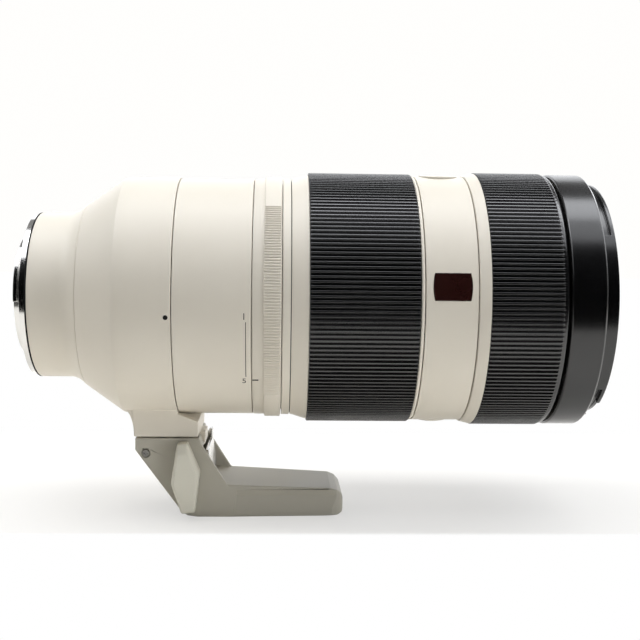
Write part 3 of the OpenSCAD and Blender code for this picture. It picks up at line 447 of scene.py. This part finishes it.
def printed_line(name, x0, x1, low, high, radius, body, step=1.5):
    """A bar of ink on a barrel, from station x0 to x1 and from elevation low to high, in degrees, with
    about one face for each step."""
    outline = ring_section(x0, x1, radius - INK, radius + INK)
    sweep = math.pi - np.radians(np.linspace(low, high, max(2, int((high - low) / step) + 2)))
    mesh = turned(name, outline, sweep, lens_axis, whole=False)
    piece(name, mesh, print_ink, body, "black_plastic")


def numeral(name, text, size, lay, body):
    """A printed figure: flat type, INK thick, laid on a barrel point by point."""
    face = bpy.data.curves.new(name, "FONT")
    face.body, face.size, face.extrude = text, size, INK
    face.align_x, face.align_y = "CENTER", "CENTER"
    sheet = placed(name + "_flat", face)
    mesh = bpy.data.meshes.new_from_object(sheet.evaluated_get(bpy.context.evaluated_depsgraph_get()))
    bpy.data.objects.remove(sheet)
    bpy.data.curves.remove(face)
    shape = bmesh.new()
    shape.from_mesh(mesh)
    bmesh.ops.remove_doubles(shape, verts=shape.verts, dist=merge_gap / 2)
    shape.to_mesh(mesh)
    shape.free()
    flat = np.empty(len(mesh.vertices) * 3)
    mesh.vertices.foreach_get("co", flat)
    u, v, h = flat.reshape(-1, 3).T
    mesh.vertices.foreach_set("co", lay(u, v, h).ravel())
    mesh.name = name
    piece(name, mesh, print_ink, body, "black_plastic")


scale_x = body_x0 + 24.8 * MM
scale_half, scale_low, scale_high = 0.11 * MM, -36.5, -8.6
printed_line("tension_scale", scale_x - scale_half, scale_x + scale_half, scale_low, scale_high, body_r,
             "barrel")
figure_size, figure_x = 3.2 * MM, scale_x - 0.6 * MM
for text, middle in (("1", -6.2), ("5", -39.2)):
    numeral(f"tension_numeral_{text}", text, figure_size, on_barrel(figure_x, middle, body_r), "barrel")

# Tension ring and index ring
# Narrow ring that sets how stiffly the zoom moves, turned with fine cross ridges
# on its two sides, and the plain fixed ring in front of it.


def ribs(count, samples, top, flank):
    """Angles round a ring and the depth share cut at each: 0 on the flat top of a rib, 1 in the groove,
    by a smooth step over flank of the pitch beside a top that is top of the pitch wide."""
    angles = even_angles(count * samples)
    off = np.abs((angles * count / (2 * math.pi) + 0.5) % 1 - 0.5)
    step = np.clip((off - top / 2) / flank, 0, 1)
    return angles, step * step * (3 - 2 * step)


tension_x0, tension_x1, tension_in, tension_out = reach("tension_ring")
ridge_len, ridge_proud, ridge_depth, ridge_spread = 5.95 * MM, 0.85 * MM, 0.42 * MM, math.radians(47.5)
ridge_x = tension_x1 - ridge_len
plain_r = tension_out - ridge_proud
ridge_angles, ridge_share = ribs(278, 8, 0.3, 0.26)
ridge_side = np.abs((ridge_angles + math.pi / 2) % math.pi - math.pi / 2)
ridge_cut = ridge_depth * ridge_share * (ridge_side < ridge_spread)
tension_line = [(tension_x0, tension_in, 0), (tension_x1, tension_in, 0),
                (tension_x1, plain_r + 0.25 * MM, 0), (tension_x1 - 0.24 * MM, plain_r + 0.3 * MM, 0),
                (tension_x1 - 0.26 * MM, tension_out - 0.2 * MM, 0.6),
                (tension_x1 - 0.36 * MM, tension_out - 0.05 * MM, 0.9), (tension_x1 - 0.5 * MM, tension_out, 1),
                (ridge_x + 0.24 * MM, tension_out, 1), (ridge_x + 0.1 * MM, tension_out - 0.05 * MM, 0.9),
                (ridge_x, tension_out - 0.2 * MM, 0.6), (ridge_x - 0.02 * MM, plain_r + 0.02 * MM, 0),
                (ridge_x - 0.3 * MM, plain_r, 0), (tension_x0 + 0.15 * MM, plain_r, 0),
                (tension_x0, plain_r - 0.15 * MM, 0)]
piece("tension_ring_ridged", turned("tension_ring_ridged", tension_line, ridge_angles, lens_axis, ridge_cut),
      cream_paint, "tension", "cream_paint", "tension_ring")
tick_x0, tick_x1, tick_low, tick_high = tension_x0 + 0.1 * MM, tension_x0 + 2.2 * MM, -38.75, -38.05
printed_line("tension_index", tick_x0, tick_x1, tick_low, tick_high, plain_r, "tension")
softened("index_ring", 0.15 * MM, cream_paint, "barrel", "cream_paint")

# Zoom ring
# Alloy ring with a cream flare behind and a thin lip in front, and a moulded
# black rubber sleeve with straight ribs stretched over it. Its cam barrel is inside.
softened("zoom_ring", 0.2 * MM, cream_paint, "zoom", "cream_paint")
rubber = finish("ribbed_black_rubber", (0.004, 0.004, 0.0042), (0.006, 0.006, 0.0062), (0.19, 0.24),
                3200, 0.003 * MM, patch=160, fixed={"Specular IOR Level": 0.9, "IOR": 1.53})
rib_depth, rib_samples, rib_top, rib_flank = 0.95 * MM, 14, 0.34, 0.2
zoom_ribs, focus_ribs = 173, 175
sleeve_end = (0, 0.3, 0.9), (0.1, 0.09, 1), (0.35, 0, 1), (1.2, 0, 1)


def sleeve_edge(x, inward, outer):
    """The rounded end of a ribbed sleeve, from its face at x inwards, as outline points for turned.
    inward is 1 at the rear end and -1 at the front."""
    return [(x + inward * along * MM, outer - down * MM, share) for along, down, share in sleeve_end]


grip_x0, grip_x1, grip_in, grip_out = reach("zoom_grip")
rib_angles, rib_cut = ribs(zoom_ribs, rib_samples, rib_top, rib_flank)
grip_line = [(grip_x0, grip_in, 0), (grip_x1, grip_in, 0), *sleeve_edge(grip_x1, -1, grip_out),
             *sleeve_edge(grip_x0, 1, grip_out)[::-1]]
zoom_sleeve = turned("zoom_grip_ribbed", grip_line, rib_angles, lens_axis, rib_depth * rib_cut)
piece("zoom_grip_ribbed", zoom_sleeve, rubber, "zoom", "ribbed_rubber", "zoom_grip")
dress(blackened, "cam_barrel", "front_sleeve")
flare_r, flare_slope = body_r + 0.75 * MM, 0.27
figure_row = reach("zoom_ring")[0] + 3.1 * MM
first_figure, figure_sweep, zoom_figure_size = 90, 75, 2.5 * MM


def on_flare(elevation):
    """Lays flat (u, v, h) on the zoom ring's flare: u round the lens from this elevation towards the far
    side, v back along the axis, h outwards."""

    def lay(u, v, h):
        angle = math.pi - math.radians(elevation) - np.asarray(u) / flare_r
        station = figure_row - np.asarray(v)
        radius = flare_r + flare_slope * (station - figure_row) + h
        return np.stack([station, radius * np.cos(angle), radius * np.sin(angle)], -1)

    return lay


for text, share in zip(("100", "135", "200", "300", "400"), (0, 0.2, 0.48, 0.77, 1)):
    lay = on_flare(first_figure + figure_sweep * share)
    numeral(f"zoom_numeral_{text}", text, zoom_figure_size, lay, "zoom")
index_x0, index_x1, _, index_r = reach("index_ring")
mark_x0, mark_x1, mark_half = index_x0 + 0.3 * MM, index_x1 - 0.2 * MM, 0.3
printed_line("zoom_index_line", mark_x0, mark_x1, first_figure - mark_half, first_figure + mark_half, index_r,
             "barrel")

# Button band
# Fixed band between the two grips with three round focus-hold buttons let into
# it, and a small bare plate, anodised dark red with a polished edge, on the near side.
softened("button_band", 0.15 * MM, cream_paint, "barrel", "cream_paint")
button_resin = finish("button_resin", *resin_tones, (0.34, 0.42), 2600, 0.003 * MM,
                      fixed={"Specular IOR Level": 0.5})
band_x0, band_x1, _, band_r = reach("button_band")
band_x = (band_x0 + band_x1) / 2
button_r, button_proud, button_dish = 7 * MM, 0.35 * MM, 0.25 * MM
button_lean, dish_edge = 5.5, 0.78
dish_share = np.linspace(dish_edge, 0.02, 12)
dish_height = button_proud - button_dish * (1 - (dish_share / dish_edge) ** 2)
button_edge = [(0.985, -1.5), (0.985, -0.1), (0.98, -0.03), (0.97, 0), (0.82, 0)]
button_rings = [*((share, button_proud + rise * MM) for share, rise in button_edge),
                *zip(dish_share, dish_height)]
for name, place in (("top", 90), ("side", 0), ("bottom", 270)):
    outward = math.radians(place + button_lean)
    up = np.array((0, math.cos(outward), math.sin(outward)))
    centre = up * band_r + np.array((band_x, 0, 0))
    face = on_face(centre, (1, 0, 0), np.cross(up, (1, 0, 0)))
    mesh = raised(f"hold_button_{name}_dished", disc(button_r, 96), button_rings, face)
    piece(f"hold_button_{name}_dished", mesh, button_resin, f"button_{name}", "button_plastic",
          f"hold_button_{name}")

plate_red = finish("oxblood_anodised", (0.015, 0.003, 0.0022), (0.02, 0.0042, 0.0032), (0.22, 0.32),
                   2400, 0.004 * MM, pull=(1, 6, 6), fixed={"Specular IOR Level": 0.6})
plate_edge = finish("polished_edge", (0.6, 0.56, 0.5), (0.68, 0.64, 0.58), (0.2, 0.28), 3000, 0.003 * MM,
                    fixed={"Metallic": 1.0})
plate_half, plate_bulge, plate_rise = 6.1 * MM, 0.55 * MM, 4.8 * MM
plate_x, plate_elevation = band_x + 0.13 * MM, 7.75
plate_side = np.linspace(-1, 1, 25)
plate_top = np.linspace(1, -1, 17)[1:-1]
right_side = np.stack([plate_half + plate_bulge * (1 - plate_side ** 2), plate_rise * plate_side], -1)
top_side = np.stack([plate_top * plate_half, np.full(len(plate_top), plate_rise)], -1)
plate_line = np.vstack([right_side, top_side, -right_side, -top_side])
plate_face = on_barrel(plate_x, plate_elevation, band_r)
field_rings = [(0.975, -0.1 * MM), (0.975, 0.08 * MM), (0.96, 0.1 * MM), (0.93, 0.1 * MM), (0.6, 0.1 * MM),
               (0.3, 0.1 * MM), (0.02, 0.1 * MM)]
rim_rings = [(1.0, -0.1 * MM), (1.0, 0.06 * MM), (0.994, 0.11 * MM), (0.982, 0.11 * MM), (0.974, 0.05 * MM),
             (0.974, -0.1 * MM)]
piece("bare_plate", raised("bare_plate", plate_line, field_rings, plate_face), plate_red,
      "barrel", "black_alloy")
piece("bare_plate_rim", raised("bare_plate_rim", plate_line, rim_rings, plate_face, hollow=True), plate_edge,
      "barrel", "bright_steel")

# Focus ring
# Second ring of the same make: a cream lip behind, then a ribbed rubber sleeve
# that ends in a plain hem before the groove.
softened("focus_ring", 0.2 * MM, cream_paint, "focus", "cream_paint")
focus_x0, focus_x1, focus_in, focus_out = reach("focus_grip")
focus_angles, focus_cut = ribs(focus_ribs, rib_samples, rib_top, rib_flank)
rib_end = focus_x1 - 1.6 * MM
hem_r = focus_out - 0.45 * MM
focus_line = [(focus_x0, focus_in, 0), (focus_x1, focus_in, 0), (focus_x1, hem_r - 0.45 * MM, 0),
              (focus_x1 - 0.2 * MM, hem_r - 0.15 * MM, 0), (focus_x1 - 0.6 * MM, hem_r - 0.02 * MM, 0),
              (rib_end + 0.25 * MM, hem_r, 0), (rib_end, hem_r + 0.03 * MM, 0.1),
              (rib_end - 0.2 * MM, focus_out - 0.1 * MM, 0.7), (rib_end - 0.45 * MM, focus_out, 1),
              (rib_end - 1.2 * MM, focus_out, 1), *sleeve_edge(focus_x0, 1, focus_out)[::-1]]
focus_sleeve = turned("focus_grip_ribbed", focus_line, focus_angles, lens_axis, rib_depth * focus_cut)
piece("focus_grip_ribbed", focus_sleeve, rubber, "focus", "ribbed_rubber", "focus_grip")

# Front barrel
# Extending tube that carries the front group, and the satin black ring at its
# end with the hood bayonet outside and the filter thread inside.
satin_black = finish("satin_black_paint", (0.0018, 0.0018, 0.0019), (0.0028, 0.0028, 0.003), (0.2, 0.26),
                     2600, 0.002 * MM, fixed={"Specular IOR Level": 0.75})
softened("front_ring", 0.22 * MM, satin_black, "front_barrel", "black_alloy", steps=3)
tube_black = finish("anodised_tube_black", (0.012, 0.012, 0.0122), (0.017, 0.017, 0.0173), (0.36, 0.46),
                    5200, 0.004 * MM, lathe=True)
dress(tube_black, "extension_tube", "front_retainer")
dress(gold, "extension_followers")
front_glass = coated("front_glass", amber_coat, reach("front_lens")[3])
element("front_lens", -0.6 * MM, 4.6 * MM, front_glass, "front_barrel")
filter_r, filter_pitch, filter_turns = 38.3 * MM, 0.75 * MM, 6
filter_start, groove_in, ridge_in, thread_back = 0.7 * MM, 0.05 * MM, 0.42 * MM, 0.1 * MM
groove_x = reach("front_ring")[1] - filter_start - filter_pitch * np.arange(filter_turns)
thread = np.stack([np.repeat(groove_x, 2) - np.tile([0, filter_pitch / 2], filter_turns),
                   filter_r - np.tile([groove_in, ridge_in], filter_turns)], -1)
thread_end = groove_x[-1] - filter_pitch
thread_line = np.vstack([thread, [(thread_end, filter_r - groove_in), (thread_end, filter_r + thread_back),
                                  (groove_x[0], filter_r + thread_back)]])
piece("filter_thread_rings", turned("filter_thread_rings", thread_line, full_turn, lens_axis), satin_black,
      "front_barrel", "black_alloy")

# Inside groups
# What slides and turns behind the front group: guide tube, focus group on two
# rods, nine-blade iris, stabiliser and variator.
blade_steel = finish("blued_blade_steel", (0.02, 0.02, 0.021), (0.032, 0.032, 0.034), (0.3, 0.42),
                     1500, 0.002 * MM, pull=(1, 1, 10), fixed={"Metallic": 0.6})
inner_glass = coated("inner_glass", green_coat, reach("variator_lens")[3])
dress(blackened, "guide_tube", "focus_cell", "iris_housing", "oss_base", "oss_cell", "variator_cell")
dress(moulded_black, "oss_frame")
dress(ground_steel, "focus_rods", "iris_drive_ring")
dress(blade_steel, *[f"iris_blade_{i}" for i in range(1, 10)])
element("focus_lens", -1.4 * MM, 1.8 * MM, inner_glass, "focus_group")
element("oss_lens", -0.8 * MM, 1.2 * MM, inner_glass, "stabiliser")
element("variator_lens", -1.6 * MM, 2.2 * MM, inner_glass, "variator")

# Studio
# White sweep under two long soft lights overhead, side by side, with two more behind, one
# at each end and a low reflector, in a room that is dark on the camera's side. The camera
# stands where the photograph was taken from.
floor_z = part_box("foot")[0][2]
floor_half, floor_front = 3.0, -0.21
far_start, far_white = 0.03, 0.16
near_start, near_white = -0.034, -0.042
paper_tone, paper_lift = (0.82, 0.797, 0.747, 1), 0.52
room_tone, room_level = (1.0, 0.995, 0.98, 1), 0.28
room_start, room_full = -0.25, 0.55


def eased(tree, value, start, end, top=1.0):
    """A value that climbs smoothly from 0 where value is start to top where it is end."""
    climb = node(tree, "MapRange", {"Value": value, "From Min": start, "From Max": end, "To Min": 0.0,
                                    "To Max": top}, interpolation_type="SMOOTHSTEP")
    return climb.outputs["Result"]


def combined(tree, operation, first, second):
    """Two values put together by a maths operation."""
    return node(tree, "Math", {0: first, 1: second}, operation=operation).outputs["Value"]


floor_mesh = bpy.data.meshes.new("floor")
floor_corners = [(-floor_half, floor_front, floor_z), (floor_half, floor_front, floor_z),
                 (floor_half, floor_half, floor_z), (-floor_half, floor_half, floor_z)]
floor_mesh.from_pydata(floor_corners, [], [(0, 1, 2, 3)])
floor = placed("floor", floor_mesh)
paper, tree, main, place = new_finish("white_paper")
tree.nodes.remove(main)
depth = node(tree, "SeparateXYZ", {"Vector": place}).outputs["Y"]
seen = node(tree, "LightPath").outputs["Is Camera Ray"]
far = eased(tree, depth, far_start, far_white)
near = eased(tree, depth, near_start, near_white)
either = combined(tree, "MAXIMUM", far, near)
fade = combined(tree, "MULTIPLY", combined(tree, "MAXIMUM", either, paper_lift), seen)
matt = node(tree, "BsdfDiffuse", {"Color": paper_tone})
white = node(tree, "Emission", {"Color": (1, 1, 1, 1), "Strength": 1.0})
mixed = node(tree, "MixShader", {0: fade, 1: matt.outputs["BSDF"], 2: white.outputs["Emission"]})
under = node(tree, "NewGeometry").outputs["Backfacing"]
clear = node(tree, "BsdfTransparent")
sided = node(tree, "MixShader", {0: under, 1: mixed.outputs["Shader"], 2: clear.outputs["BSDF"]})
tree.links.new(sided.outputs["Shader"], tree.nodes["Material Output"].inputs["Surface"])
floor_mesh.materials.append(paper)

room = bpy.data.worlds.new("room")
scene.world = room
room.use_nodes = True
tree = room.node_tree
way = node(tree, "SeparateXYZ", {"Vector": node(tree, "TexCoord").outputs["Generated"]}).outputs["Y"]
seen = node(tree, "LightPath").outputs["Is Camera Ray"]
bright = combined(tree, "MAXIMUM", seen, eased(tree, way, room_start, room_full, room_level))
back = tree.nodes["Background"]
back.inputs["Color"].default_value = room_tone
tree.links.new(bright, back.inputs["Strength"])

lamp_aim, lamp_tone = Vector((0.1, 0, 0)), (0.97, 0.99, 1.03)
# Each lamp's name, place, width, height and watts
lamps = (("overhead_softbox", (0.1, 0.0, 0.86), 2.2, 0.4, 13.2),
         ("camera_side_softbox", (0.1, -0.36, 0.76), 2.0, 0.3, 3.8),
         ("back_softbox", (0.1, 0.88, 0.46), 1.8, 0.5, 4.2),
         ("front_end_softbox", (0.85, 0.6, 0.35), 0.7, 0.7, 2.6),
         ("low_reflector", (0.72, -0.5, 0.0), 0.6, 0.2, 2.35),
         ("low_back_strip", (0.1, 1.3, 0.12), 2.0, 0.3, 1.6),
         ("mount_end_softbox", (-0.6, -0.04, 0.52), 0.6, 0.6, 1.3))
for name, at, wide, tall, power in lamps:
    lamp = bpy.data.lights.new(name, "AREA")
    lamp.shape, lamp.size, lamp.size_y = "RECTANGLE", wide, tall
    lamp.energy = power
    lamp.color = lamp_tone
    softbox = placed(name, lamp)
    softbox.location = at
    softbox.rotation_euler = (lamp_aim - Vector(at)).to_track_quat("-Z", "Y").to_euler()
    softbox.visible_glossy = name != "low_reflector"
    softbox.visible_camera = False

camera_at, camera_turn = (0.089224, -0.399367, 0.020), (2.2727, -4.0876, 0.6924)
focal_pixels, frame_pixels, sensor = 1065.9, 640, 36
yaw, pitch, roll = (math.radians(a) for a in camera_turn)
ahead = Vector((math.sin(yaw) * math.cos(pitch), math.cos(yaw) * math.cos(pitch), math.sin(pitch)))
level = Vector((math.cos(yaw), -math.sin(yaw), 0))
above = level.cross(ahead)
side = math.cos(roll) * level + math.sin(roll) * above
head = math.cos(roll) * above - math.sin(roll) * level
view = bpy.data.cameras.new("view")
view.sensor_width = sensor
view.lens = focal_pixels / frame_pixels * sensor
view.clip_start = 0.01
camera = placed("view", view)
stand = Matrix((side, head, -ahead)).transposed().to_4x4()
stand.translation = Vector(camera_at)
camera.matrix_world = stand
scene.camera = camera
scene.view_settings.view_transform = "Standard"
